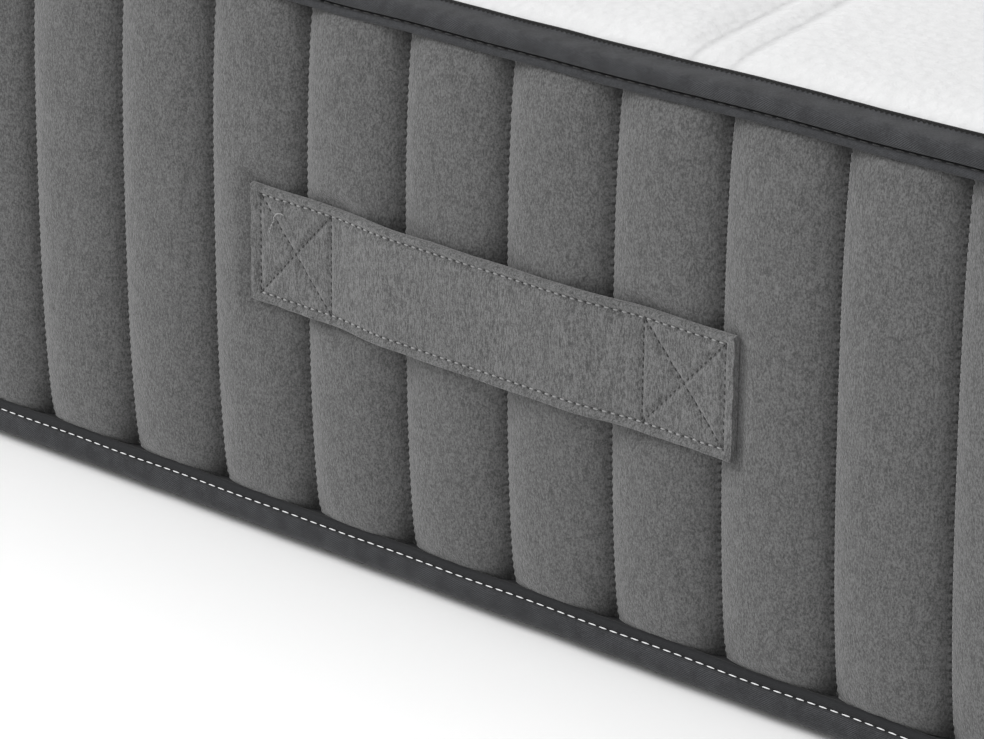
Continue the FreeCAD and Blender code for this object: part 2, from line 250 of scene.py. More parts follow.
def bump(values: Array, width: float) -> Array:
    """A bell of height 1 round 0."""
    return np.exp(-((values / width) ** 2))


def arch(share: Array, flatness: float, steepness: float) -> Array:
    """An arch over a span.

    Args:
        share: how far across the span, from 0 to 1.
        flatness: the power that flattens the arch's top.
        steepness: the power that steepens its feet, less than 1.

    Returns:
        The arch's heights, from 0 to 1.
    """
    return np.clip(1 - np.abs(2 * share - 1) ** flatness, 0, 1) ** steepness


def ripples(along: Array, length: float, waves: Iterable[int], seed: int) -> Array:
    """A smooth unevenness between about -1 and 1 that closes on itself after a length."""
    rng = np.random.default_rng(seed)
    waves = list(waves)
    total = np.zeros(np.shape(along))
    for wave in waves:
        total += rng.normal() * np.sin(2 * math.pi * wave * along / length + rng.uniform(0, 2 * math.pi))
    return total / math.sqrt(len(waves))


class Stitch:
    """One stitch of thread that shows, and rows of copies of it."""

    def __init__(self, length: float, thickness: float, segments: int = 6, rings: int = 4) -> None:
        """Makes the stitch lying along X."""
        bm = bmesh.new()
        bmesh.ops.create_uvsphere(bm, u_segments=segments, v_segments=rings, radius=0.5)
        bmesh.ops.rotate(bm, verts=bm.verts, cent=(0, 0, 0), matrix=Matrix.Rotation(math.pi / 2, 3, "Y"))
        bmesh.ops.scale(bm, verts=bm.verts, vec=(length, thickness, thickness))
        self.template = bpy.data.meshes.new("stitch")
        bm.to_mesh(self.template)
        bm.free()

    def copies(self, count: int) -> bpy.types.Mesh:
        """A mesh of a number of copies on top of each other, made by doubling."""
        mesh, made = self.template.copy(), 1
        while made < count:
            bm = bmesh.new()
            bm.from_mesh(mesh)
            bm.from_mesh(mesh)
            bm.to_mesh(mesh)
            bm.free()
            made *= 2
        bm = bmesh.new()
        bm.from_mesh(mesh)
        bm.verts.ensure_lookup_table()
        spare = bm.verts[count * len(self.template.vertices):]
        bmesh.ops.delete(bm, geom=spare, context="VERTS")
        bm.to_mesh(mesh)
        bm.free()
        return mesh

    def row(self, name: str, places: Array, material: bpy.types.Material) -> bpy.types.Object:
        """A piece made of one copy of the stitch at each of some places.

        Args:
            name: the piece's name.
            places: one 4 by 4 matrix for each stitch.
            material: the thread's material.

        Returns:
            The piece.
        """
        mesh = self.copies(len(places))
        shape = np.array([(*vertex.co, 1.0) for vertex in self.template.vertices])
        points = np.einsum("kij,nj->kni", places, shape)[..., :3]
        mesh.vertices.foreach_set("co", points.astype(np.float32).ravel())
        mesh.update()
        return finished(name, mesh, material)


def unit(vectors: Array) -> Array:
    """The same directions with a length of 1."""
    return vectors / np.linalg.norm(vectors, axis=-1, keepdims=True)


def lying(starts: Array, ends: Array, outward: Array) -> Array:
    """The places of stitches that lie between pairs of points, on a surface that faces outward.

    Args:
        starts: where each stitch begins.
        ends: where each stitch ends.
        outward: which way the surface faces at each stitch, or one direction for all.

    Returns:
        One 4 by 4 matrix for each stitch.
    """
    x = unit(ends - starts)
    z = unit(outward - x * (x * outward).sum(axis=-1, keepdims=True))
    places = np.tile(np.eye(4), (len(x), 1, 1))
    places[:, :3, 0], places[:, :3, 1], places[:, :3, 2] = x, np.cross(z, x), z
    places[:, :3, 3] = (starts + ends) / 2
    return places


def wear(piece: bpy.types.Object, body: str, slot: str, *nodes: str) -> bpy.types.Object:
    """Rides a piece on a body and hides the CAD nodes it stands for."""
    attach(piece, body)
    if nodes:
        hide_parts(*nodes)
    LOG.info("%s: %d faces, on %s", piece.name, len(piece.data.polygons), body)
    return piece


# Shaders ---------------------------------------------------------------------------------------

Value = Union["Signal", float, tuple]


class Signal:
    """One output socket of a shader node. Arithmetic on it adds Math nodes."""

    def __init__(self, shader: "Shader", socket: bpy.types.NodeSocket) -> None:
        """Wraps a socket of a shader's tree."""
        self.shader = shader
        self.socket = socket

    def math(self, operation: str, *values: Value) -> "Signal":
        """A Math node of this signal and further values."""
        inputs = {number: value for number, value in enumerate((self, *values))}
        return self.shader.node("Math", {"operation": operation}, inputs)

    def __add__(self, other: Value) -> "Signal":
        """This plus another."""
        return self.math("ADD", other)

    __radd__ = __add__

    def __mul__(self, other: Value) -> "Signal":
        """This times another."""
        return self.math("MULTIPLY", other)

    __rmul__ = __mul__

    def __sub__(self, other: Value) -> "Signal":
        """This less another."""
        return self.math("SUBTRACT", other)

    def __rsub__(self, other: Value) -> "Signal":
        """Another less this."""
        return self.shader.node("Math", {"operation": "SUBTRACT"}, {0: other, 1: self})

    def __pow__(self, other: Value) -> "Signal":
        """This raised to a power."""
        return self.math("POWER", other)

    def step(self, low: float, high: float) -> "Signal":
        """0 below low, 1 above high and a smooth ramp between."""
        settings = {"interpolation_type": "SMOOTHSTEP"}
        return self.shader.node("MapRange", settings, {"Value": self, "From Min": low, "From Max": high})


class Shader:
    """A material's nodes, with short ways to add to them."""

    def __init__(self, name: str) -> None:
        """Starts a material that has only its Principled shader."""
        self.material = bpy.data.materials.new(name)
        self.material.use_nodes = True
        self.tree = self.material.node_tree
        self.principled = self.tree.nodes["Principled BSDF"]

    def node(self, kind: str, settings: dict, inputs: dict, output: Union[int, str] = 0) -> Signal:
        """Adds a node.

        Args:
            kind: the node's type, without the ShaderNode prefix.
            settings: its properties, set before its sockets.
            inputs: the values or signals of its sockets, by name or number.
            output: the name or number of the socket that is returned.

        Returns:
            The chosen output.
        """
        made = self.tree.nodes.new(f"ShaderNode{kind}")
        for name, setting in settings.items():
            setattr(made, name, setting)
        for name, value in inputs.items():
            self.set(made.inputs[name], value)
        return Signal(self, made.outputs[output])

    def set(self, socket: bpy.types.NodeSocket, value: Value) -> None:
        """Links a signal to a socket, or sets the socket's own value."""
        if isinstance(value, Signal):
            self.tree.links.new(value.socket, socket)
        else:
            socket.default_value = value

    def object_place(self, stretch: tuple = (1, 1, 1)) -> Signal:
        """The place on the piece, in metres, with each axis scaled."""
        place = self.node("TexCoord", {}, {}, "Object")
        return self.node("Mapping", {}, {"Vector": place, "Scale": stretch})

    def parts(self, place: Signal) -> tuple[Signal, Signal]:
        """The first two parts of a place."""
        first = self.node("SeparateXYZ", {}, {"Vector": place}, "X")
        return first, Signal(self, first.socket.node.outputs["Y"])

    def uv_parts(self) -> tuple[Signal, Signal]:
        """The piece's UV coordinates, in metres."""
        return self.parts(self.node("UVMap", {"uv_map": "UVMap"}, {}))

    def noise(self, size: float, place: Signal, detail: float = 2.0) -> Signal:
        """Noise with features of a size, in metres, from 0 to 1."""
        inputs = {"Vector": place, "Scale": 1 / size, "Detail": detail}
        return self.node("TexNoise", {}, inputs, "Fac")

    def mix(self, share: Value, low: Value, high: Value) -> Signal:
        """A colour between two others."""
        settings = {"data_type": "RGBA"}
        made = self.node("Mix", settings, {"Factor": share}, 2)
        for number, colour in ((6, low), (7, high)):
            self.set(made.socket.node.inputs[number], colour)
        return made

    def bell(self, distance: Signal, reach: float) -> Signal:
        """1 where a distance is 0, falling to 0 over a reach."""
        return ((distance * (1 / reach)) ** 2 * -1).math("EXPONENT")

    def relief(self, height: Signal, depth: float) -> Signal:
        """A normal for a height signal whose full range is a depth in metres."""
        return self.node("Bump", {}, {"Height": height, "Distance": depth, "Strength": 1.0})

    def finish(self, **inputs: Value) -> bpy.types.Material:
        """Sets the Principled shader's sockets, named with _ for a space, and gives the material."""
        for name, value in inputs.items():
            self.set(self.principled.inputs[name.replace("_", " ")], value)
        return self.material


def grey(level: float, tint: float = 0.0) -> tuple:
    """A colour of one linear level, a little bluer for a positive tint."""
    return (level * (1 - tint), level * (1 - tint / 2), level * (1 + tint), 1.0)


@dataclass(frozen=True)
class MelangeCloth:
    """Brushed cloth of mixed light and dark fibres, with short upright streaks, and painted shade at its
    seams where it has them.
    """

    name: str
    dark: float
    light: float
    grain: float
    fibre_depth: float
    streak: float = 0.6
    cloud: float = 22 * MM
    seams: Optional[float] = None
    stitch: float = 3.5 * MM
    height: float = 0.2
    # How far the painted seam shade reaches: along the crease, round each stitch hole, and at the pinched
    # seam ends by the tapes. The fold is a pucker in the relief.
    crease_shade_reach: float = 4.2 * MM
    hole_shade_reach: float = 1.0 * MM
    fold_reach: float = 2.4 * MM
    fold_depth: float = 0.1 * MM
    pinch_shade_reach: float = 8 * MM
    end_shade_reach: float = 13 * MM

    def make(self) -> bpy.types.Material:
        """Builds the material."""
        shader = Shader(self.name)
        streaked = shader.object_place((1, 1, self.streak))
        fine = shader.noise(self.grain, streaked, 4)
        fleck = shader.noise(self.grain * 0.7, shader.object_place((1.1, 1.1, 0.8)), 2)
        coarse = shader.noise(self.grain * 4, streaked, 2)
        cloud = shader.noise(self.cloud, shader.object_place(), 2)
        mixed = (fine * 0.45 + fleck * 0.4 + coarse * 0.15).step(0.36, 0.64) * 0.85 + cloud * 0.15
        colour = shader.mix(mixed, grey(self.dark), grey(self.light))
        height = fine * self.fibre_depth + coarse * (self.fibre_depth * 0.9)
        if self.seams:
            crease, hole_shade, pucker = self.seam_shade_and_pucker(shader)
            # Painted shade along each seam's crease, stronger at the pinched seam ends by the tapes.
            colour = shader.mix(crease, colour, grey(self.dark * 0.3))
            # Painted shade in each stitch hole along the seams.
            colour = shader.mix(hole_shade, colour, grey(self.dark * 0.12))
            height = height + pucker
        return shader.finish(
            Base_Color=colour, Roughness=0.95, Sheen_Weight=0.3, Sheen_Roughness=0.45,
            Specular_IOR_Level=0.12, Normal=shader.relief(height, 1.0))

    def seam_shade_and_pucker(self, shader: Shader) -> tuple[Signal, Signal, Signal]:
        """How the cloth changes near its seams.

        Returns:
            Painted shade of the crease and pinched ends, painted shade in each stitch hole, and the pucker
            from one stitch hole to the next, in metres.
        """
        along, up = shader.uv_parts()
        away = along.math("PINGPONG", self.seams / 2)
        wave = (up * (2 * math.pi / self.stitch)).math("SINE")
        crease, hole, fold, pinch_shade = (shader.bell(away, reach) for reach in (
            self.crease_shade_reach, self.hole_shade_reach, self.fold_reach, self.pinch_shade_reach))
        ends = shader.bell(up, self.end_shade_reach) + shader.bell(up - self.height, self.end_shade_reach)
        # Painted shade: faint along the crease, stronger where the seam is pinched in next to the tapes.
        crease = crease * 0.2 + pinch_shade * ends * 0.6
        return crease, hole * wave.step(0.1, 0.9) * 0.8, fold * wave * -self.fold_depth


@dataclass(frozen=True)
class TwillTape:
    """Woven tape with slanted ribs, a plain leg under its crease and a dark inner edge, with painted light
    and shade.
    """

    name: str
    dark: float
    light: float
    leg_side: int
    # Where the near-black band at the inner edge starts, across from the crease: the dark woven edge, painted
    # darker as the shadow in the gap under the top panel.
    selvedge_and_gap_shadow: float
    # How much darker the leg is painted: painted shade when positive, painted light when negative.
    leg_painted_shade: float
    rib: float = 1.2 * MM
    slant: float = 1.3
    pick: float = 2.4 * MM
    pick_depth: float = 0.4 * MM
    drift: float = 1.6 * MM
    rib_depth: float = 0.16 * MM
    yarn_depth: float = 0.14 * MM

    def make(self) -> bpy.types.Material:
        """Builds the material. UV across is 0 at the crease."""
        shader = Shader(self.name)
        along, across = shader.uv_parts()
        place = shader.object_place()
        leg = (across * self.leg_side).step(-0.4 * MM, 0.7 * MM)
        picked = across + (along * (2 * math.pi / self.pick)).math("SINE") * self.pick_depth
        # Near-black band at the inner edge: the dark woven edge, painted darker as the shadow in the gap
        # under the top panel.
        edge = picked.step(self.selvedge_and_gap_shadow, self.selvedge_and_gap_shadow + 0.3 * MM)
        drift = shader.noise(14 * MM, place, 2) * self.drift
        rib = ((along - across * self.slant + drift) * (2 * math.pi / self.rib)).math("SINE") * 0.5 + 0.5
        worn = shader.noise(9 * MM, place, 3)
        fine = shader.noise(0.8 * MM, place, 3)
        ribbed = rib * (worn.step(0.3, 0.7) * 0.7 + 0.3) * (1 - leg * 0.6)
        # The leg's level is shifted per tape: painted shade on the bottom tape, painted light on the top
        # tape.
        mixed = ribbed * 0.42 + fine * 0.5 - leg * self.leg_painted_shade
        height = ribbed * self.rib_depth + fine * self.yarn_depth
        # Painted shade in the stitched crease.
        crease = shader.bell(across, 1.1 * MM)
        colour = shader.mix(mixed.step(0.1, 0.9), grey(self.dark, 0.06), grey(self.light, 0.05))
        colour = shader.mix(crease * 0.6, colour, grey(self.dark * 0.2))
        return shader.finish(
            Base_Color=shader.mix(edge, colour, grey(0.003)), Roughness=0.8, Sheen_Weight=0.1,
            Sheen_Roughness=0.4, Specular_IOR_Level=0.2, Normal=shader.relief(height, 1.0))


@dataclass(frozen=True)
class Waves:
    """Pairs of quilting lines that wave across the mattress."""

    place: float = 0.601
    pitch: float = 0.2
    gap: float = 19 * MM
    reach: float = 24 * MM
    length: float = 0.62
    turn: float = -0.50

    def from_line(self, x: Array, y: Array) -> Array:
        """The distance from each place to the nearest line."""
        swing = self.reach * np.cos((y - self.turn) * (2 * math.pi / self.length)) - self.reach
        away = np.mod(x - self.place - swing + self.pitch / 2, self.pitch) - self.pitch / 2
        return np.abs(np.abs(away) - self.gap / 2)


@dataclass(frozen=True)
class KnitCloth:
    """Soft double jersey with small raised cells, drawn in along its quilting lines, with painted shade in
    those grooves.
    """

    name: str
    dark: float
    light: float
    waves: Waves
    cell: float = 4.2 * MM
    cell_depth: float = 0.7 * MM
    loop_depth: float = 0.2 * MM
    line: float = 1.8 * MM
    line_depth: float = 0.5 * MM

    def make(self) -> bpy.types.Material:
        """Builds the material."""
        shader = Shader(self.name)
        place = shader.object_place()
        cells = shader.node("TexVoronoi", {"feature": "SMOOTH_F1"}, {"Vector": place, "Scale": 1 / self.cell},
                            "Distance")
        loops = shader.noise(0.9 * MM, place, 3)
        soft = shader.noise(30 * MM, place, 2)
        near = self.near_line(shader)
        height = cells * -self.cell_depth + loops * self.loop_depth - near * self.line_depth
        mixed = loops * 0.4 + (1 - cells) * 0.4 + soft * 0.2
        colour = shader.mix(mixed, grey(self.dark, 0.004), grey(self.light, 0.004))
        # Painted shade along the quilting lines, in the grooves where the jersey is drawn in.
        return shader.finish(
            Base_Color=shader.mix(near * 0.2, colour, grey(self.dark * 0.45)),
            Roughness=0.9, Sheen_Weight=0.25, Sheen_Roughness=0.5, Specular_IOR_Level=0.15,
            Normal=shader.relief(height, 1.0))

    def near_line(self, shader: Shader) -> Signal:
        """1 on a quilting line, falling to 0 beside it."""
        waves = self.waves
        x, y = shader.parts(shader.object_place())
        swing = ((y - waves.turn) * (2 * math.pi / waves.length)).math("COSINE") * waves.reach - waves.reach
        away = (x - waves.place - swing).math("PINGPONG", waves.pitch / 2)
        from_line = (away - waves.gap / 2).math("ABSOLUTE")
        return shader.bell(from_line, self.line)


@dataclass(frozen=True)
class SpunThread:
    """Twisted sewing thread."""

    name: str
    level: float

    def make(self) -> bpy.types.Material:
        """Builds the material."""
        shader = Shader(self.name)
        twist = shader.noise(0.5 * MM, shader.object_place(), 2)
        return shader.finish(
            Base_Color=shader.mix(twist, grey(self.level * 0.75), grey(self.level * 1.2)),
            Roughness=0.55, Sheen_Weight=0.3, Specular_IOR_Level=0.4,
            Normal=shader.relief(twist, 0.1 * MM))


@dataclass(frozen=True)
class Fill:
    """A plain inner layer: foam, felt, fleece or scrim, by the size and depth of its grain."""

    name: str
    colour: tuple
    grain: float
    depth: float
    metallic: float = 0.0
    roughness: float = 0.9
    shade: float = 0.75

    def make(self) -> bpy.types.Material:
        """Builds the material."""
        shader = Shader(self.name)
        place = shader.object_place()
        cells = shader.noise(self.grain, place, 3)
        cloud = shader.noise(self.grain * 25, place, 2)
        dark = tuple(channel * self.shade for channel in self.colour) + (1.0,)
        return shader.finish(
            Base_Color=shader.mix(cells * 0.7 + cloud * 0.3, dark, (*self.colour, 1.0)),
            Roughness=cells * 0.1 + (self.roughness - 0.05), Metallic=self.metallic,
            Normal=shader.relief(cells, self.depth))


class Finish(Enum):
    """The finishes of the object and of its stage."""

    STRAP = MelangeCloth("strap_cloth", dark=0.045, light=0.172, grain=0.75 * MM, fibre_depth=0.36 * MM,
                         streak=0.35)
    TOP = KnitCloth("top_jersey", dark=0.57, light=0.68, waves=Waves())
    # Near-black: the border's seam thread, darkened as painted shade of the recesses where it sinks into the
    # seams.
    SEAM_THREAD = SpunThread("seam_thread", 0.035)
    # Near-black thread for the box stitching; it also paints the shade in each needle hole between the pale
    # edge stitches.
    BOX_THREAD = SpunThread("box_thread", 0.02)
    STRAP_THREAD = SpunThread("strap_thread", 0.27)
    WHITE_THREAD = SpunThread("white_thread", 0.33)
    DARK_THREAD = SpunThread("dark_thread", 0.012)
    UNDERSIDE = Fill("underside_cloth", (0.16, 0.16, 0.17), grain=1.5 * MM, depth=0.3 * MM)
    FOAM = Fill("foam", (0.85, 0.82, 0.70), grain=1.0 * MM, depth=0.3 * MM)
    FELT = Fill("felt", (0.45, 0.44, 0.42), grain=2.0 * MM, depth=0.4 * MM)
    FLEECE = Fill("fleece", (0.82, 0.82, 0.80), grain=1.2 * MM, depth=0.2 * MM)
    STEEL = Fill("spring_wire", (0.50, 0.50, 0.52), grain=0.6 * MM, depth=0.02 * MM, metallic=1.0,
                 roughness=0.35)
    FLOOR = Fill("pale_floor", (0.95, 0.95, 0.95), grain=3.0 * MM, depth=0.0, shade=0.98)

    def material(self) -> bpy.types.Material:
        """The finish's material, made once."""
        return bpy.data.materials.get(self.value.name) or self.value.make()


# Handles ---------------------------------------------------------------------------------------


@dataclass
class Handle:
    """A sewn strap handle: two halves that meet in the middle, with their stitches.

    The strap is drawn round its middle, a little off the aim, which is its middle in CAD.
    """

    name: str
    outline: Outline
    tilt: float
    sewn: float = 45 * MM
    raised: float = 1.9 * MM
    slid: float = -1.4 * MM
    drawn_in: float = 2.0 * MM
    hem: float = 4.1 * MM
    end_hem: float = 4.8 * MM
    stitch_gap: float = 3.9 * MM
    box_gap: float = 2.9 * MM
    ramp: float = 36 * MM
    sewn_gap: float = 2.9 * MM
    slack: float = 0.4 * MM
    hem_height: float = 0.2 * MM
    hem_step: float = 0.8 * MM
    rim_height: float = 0.6 * MM
    rim_in: float = 1.2 * MM
    rim_width: float = 0.9 * MM
    groove_depth: float = 1.0 * MM
    groove_width: float = 1.3 * MM
    sewn_puff: float = 0.25 * MM
    soft_puff: float = 0.12 * MM
    thread_out: float = 0.12 * MM
    press: float = 0.5 * MM
    press_ease: float = 0.5 * MM
    rise: float = 5 * MM
    rise_over: float = 9 * MM
    columns: int = 120
    rows: int = 44
    crowding: float = 0.35
    fold: int = 6

    def __post_init__(self) -> None:
        """Finds the handle's place and size from its CAD nodes."""
        low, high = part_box(f"{self.name}_grip_fabric")
        lining_low, lining_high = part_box(f"{self.name}_grip_lining")
        self.half_width = (high.z - low.z) / 2
        self.side = 1.0 if low.y < 0 else -1.0
        self.aim = Vector(((low.x + high.x) / 2, -self.side * self.outline.half_y, (low.z + high.z) / 2))
        self.middle = self.aim + Vector((self.side * self.slid, 0, self.raised))
        self.half_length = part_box("handle_end_fabrics")[1].x - abs(self.aim.x) - self.drawn_in
        self.lift = min(abs(lining_low.y), abs(lining_high.y)) - self.outline.half_y
        self.thick = max(abs(low.y), abs(high.y)) - self.outline.half_y - self.lift

    def to_frame(self, along: Array, up: Array, out: Array) -> Array:
        """Places on the handle, in the row frame.

        Args:
            along: from the handle's middle towards its right, seen from outside.
            up: from its middle line upwards.
            out: outwards from the border's flat face.

        Returns:
            The points, one row each.
        """
        along, up, out = np.broadcast_arrays(along, up, out)
        lean = math.radians(self.tilt)
        x = along * math.cos(lean) - up * math.sin(lean)
        z = along * math.sin(lean) + up * math.cos(lean)
        return np.stack([self.middle.x + self.side * x, self.middle.y - self.side * out, self.middle.z + z],
                        axis=-1)

    def back(self, along: Array) -> Array:
        """How far the strap's back stands off the border's flat face."""
        share = np.clip((self.half_length - self.sewn - np.abs(along)) / self.ramp, 0, 1)
        ramp = share * share * (3 - 2 * share)
        return self.sewn_gap + (self.lift + self.slack - self.sewn_gap) * ramp

    def box_lines(self, half: int) -> list[tuple[Array, Array]]:
        """The start and end of each line of the crossed box on one half, each along and up."""
        far = half * (self.half_length - self.end_hem)
        near = half * (self.half_length - self.sewn)
        top = self.half_width - self.hem
        corners = [np.array(corner) for corner in ((far, top), (far, -top), (near, top), (near, -top))]
        return [(corners[a], corners[b]) for a, b in ((0, 1), (2, 3), (0, 3), (1, 2))]

    def edge_lines(self, half: int) -> list[tuple[Array, Array]]:
        """The start and end of the two lines along one half's long edges, each along and up."""
        far = half * (self.half_length - self.end_hem)
        top = self.half_width - self.hem
        return [(np.array((far, level)), np.array((0.0, level))) for level in (top, -top)]

    def groove(self, along: Array, up: Array) -> Array:
        """How close each place is to a line of stitching, from 0 to 1."""
        most = np.zeros(np.shape(along))
        for half in (-1, 1):
            for start, end in self.box_lines(half) + self.edge_lines(half):
                run = end - start
                share = ((along - start[0]) * run[0] + (up - start[1]) * run[1]) / (run @ run)
                share = np.clip(share, 0, 1)
                away = np.hypot(along - start[0] - share * run[0], up - start[1] - share * run[1])
                most = np.maximum(most, bump(away, self.groove_width))
        return most

    def front(self, along: Array, up: Array) -> Array:
        """How far the strap's front stands out, with its hems, puckers and soft unevenness."""
        hem = np.clip((np.abs(up) - (self.half_width - self.hem)) / self.hem_step, 0, 1)
        end = np.clip((np.abs(along) - (self.half_length - self.end_hem)) / self.hem_step, 0, 1)
        rim = bump(np.abs(up) - self.half_width + self.rim_in, self.rim_width)
        sewn = np.clip((np.abs(along) - self.half_length + self.sewn) / (8 * MM), 0, 1)
        puff = np.sin(along * 2 * math.pi / (13 * MM)) * np.sin(up * 2 * math.pi / (17 * MM) + 0.7)
        soft = np.sin(along * 2 * math.pi / (47 * MM) + self.tilt * 3) * np.cos(up * math.pi / (60 * MM))
        uneven = self.sewn_puff * sewn * puff + self.soft_puff * (1 - sewn) * soft
        relief = self.hem_height * np.maximum(hem, end) + self.rim_height * rim
        relief -= self.groove_depth * self.groove(along, up)
        return self.back(along) + self.thick + relief + uneven

    def half_strap(self, half: int) -> bpy.types.Object:
        """Builds one half of the strap as a closed flat tube with rounded folded edges."""
        turns = 2 * (self.rows + self.fold)
        edge = self.half_width - self.thick / 2
        across = eased(self.rows, self.crowding) * 2 - 1
        level = np.concatenate([across, np.ones(self.fold - 1), -across, -np.ones(self.fold - 1), [-1]])
        arc = math.pi * np.arange(1, self.fold) / self.fold
        flat = np.zeros(self.rows + 1)
        bulge = np.concatenate([flat, np.sin(arc), flat, -np.sin(arc), [0]])
        share = np.concatenate([flat + 1, 0.5 + 0.5 * np.cos(arc), flat, 0.5 - 0.5 * np.cos(arc), [1]])

        def shape(column: Array, row: Array) -> Array:
            """The tube's vertices, from the sewn end to the middle and round the section."""
            along = half * self.half_length * (1 - column / self.columns)
            up = level[row] * edge + bulge[row] * self.thick / 2
            wave = 0.12 * MM * np.sin(along * 2 * math.pi / (37 * MM) + self.tilt) * up / self.half_width
            back = self.back(along)
            return self.to_frame(along, up + wave, back + (self.front(along, up) - back) * share[row])

        mesh = closed(shaped_grid(self.columns, turns, shape))
        return finished(f"{self.name}_strap_{self.side_name(half)}", mesh, Finish.STRAP.material())

    @staticmethod
    def side_name(half: int) -> str:
        """Which half it is, seen from outside."""
        return "left" if half < 0 else "right"

    def sewn_rows(self, lines: list[tuple[Array, Array]], gap: float, phase: float = 0.5) -> Array:
        """The places of the stitches of some lines on the strap's front, by their share of the gap."""
        places = []
        outward = self.to_frame(0, 0, 1.0) - self.to_frame(0, 0, 0.0)
        for start, end in lines:
            length = float(np.hypot(*(end - start)))
            count = max(2, int(length / gap))
            middle = (np.arange(count)[:, None] + phase) / count * (end - start) + start
            step = (end - start) / length * 0.5 * MM
            starts, ends = (self.to_frame(*point.T, self.front(*point.T) + self.thread_out)
                            for point in (middle - step, middle + step))
            places.append(lying(starts, ends, outward))
        return np.concatenate(places)

    def join(self, piece: bpy.types.Object, half: int, slot: str, *nodes: str) -> None:
        """Bakes a piece's place into its mesh and hides the CAD nodes it stands for."""
        start = self.to_frame(half * (self.half_length - self.sewn), 0, 0)
        end = self.to_frame(0, 0, 0)
        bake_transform(piece)
        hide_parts(*nodes)
        LOG.info("%s: %d faces, on side_band and %s_grip", piece.name, len(piece.data.polygons), self.name)

    def build(self, edge_stitch: Stitch, box_stitch: Stitch) -> None:
        """Builds both halves, with their pale edge stitches, dark box stitches, and dark dots between the
        edge stitches as painted shade in each needle hole.
        """
        grip = [f"{self.name}_grip_{part}" for part in ("fabric", "webbing", "lining")]
        for half in (-1, 1):
            self.join(self.half_strap(half), half, "border_melange", "handle_end_fabrics",
                      "handle_end_webbings", "handle_end_linings", *grip)
            edges, box = self.edge_lines(half), self.box_lines(half)
            # Dark box stitches, and dark copies halfway between the pale edge stitches: painted shade in each
            # needle hole.
            dark = np.concatenate([self.sewn_rows(box, self.box_gap),
                                   self.sewn_rows(edges, self.stitch_gap, 0.0)])
            pale = self.sewn_rows(edges, self.stitch_gap)
            rows = (("topstitch", edge_stitch, pale, Finish.STRAP_THREAD, f"{self.name}_grip_stitching"),
                    ("box_stitch", box_stitch, dark, Finish.BOX_THREAD, "handle_box_stitches"))
            for kind, thread, places, finish, node in rows:
                piece = thread.row(f"{self.name}_{kind}_{self.side_name(half)}", places, finish.material())
                self.join(piece, half, "seam_thread", node)

    def hollow(self, points: Array, out: Array) -> Array:
        """Presses the border in where the strap is sewn down and lies on it.

        Args:
            points: the border's vertices.
            out: how far each stands outside the outline.

        Returns:
            The new distances out.
        """
        x = (points[..., 0] - self.middle.x) * self.side
        z = points[..., 2] - self.middle.z
        lean = math.radians(self.tilt)
        along = x * math.cos(lean) + z * math.sin(lean)
        up = z * math.cos(lean) - x * math.sin(lean)
        here = np.sign(points[..., 1]) == np.sign(self.middle.y)
        above = np.maximum(np.abs(up) - self.half_width, 0)
        beyond = np.maximum(np.abs(along) - self.half_length, 0)
        rise = self.rise * (np.hypot(above, beyond) / self.rise_over) ** 1.5
        limit = self.back(along) - self.press + rise
        pressed = -self.press_ease * np.logaddexp(-out / self.press_ease, -limit / self.press_ease)
        return np.where(here, pressed, out)


@dataclass
class LooseThread:
    """A thread end that curls out of a box of stitches."""

    handle: Handle
    start_along: float = 11 * MM
    start_up: float = 6 * MM
    reach: tuple[float, float] = (8 * MM, 10 * MM)
    clearance: float = 0.4 * MM
    arc: float = 1.3 * MM
    turn: float = 1.9
    steps: int = 12

    def build(self, stitch: Stitch) -> None:
        """Lays short lengths of thread along the curl."""
        handle = self.handle
        share = np.linspace(0, 1, self.steps + 1)
        along = self.start_along - handle.half_length + self.reach[0] * share
        up = self.start_up + self.reach[1] * np.sin(share * self.turn)
        out = handle.front(along, up) + self.clearance + self.arc * np.sin(share * math.pi)
        points = handle.to_frame(along, up, out)
        outward = handle.to_frame(0, 0, 1.0) - handle.to_frame(0, 0, 0.0)
        places = lying(points[:-1], points[1:], outward)
        piece = stitch.row(f"{handle.name}_loose_thread", places, Finish.STRAP_THREAD.material())
        wear(piece, "side_band", "seam_thread")


# Border ----------------------------------------------------------------------------------------


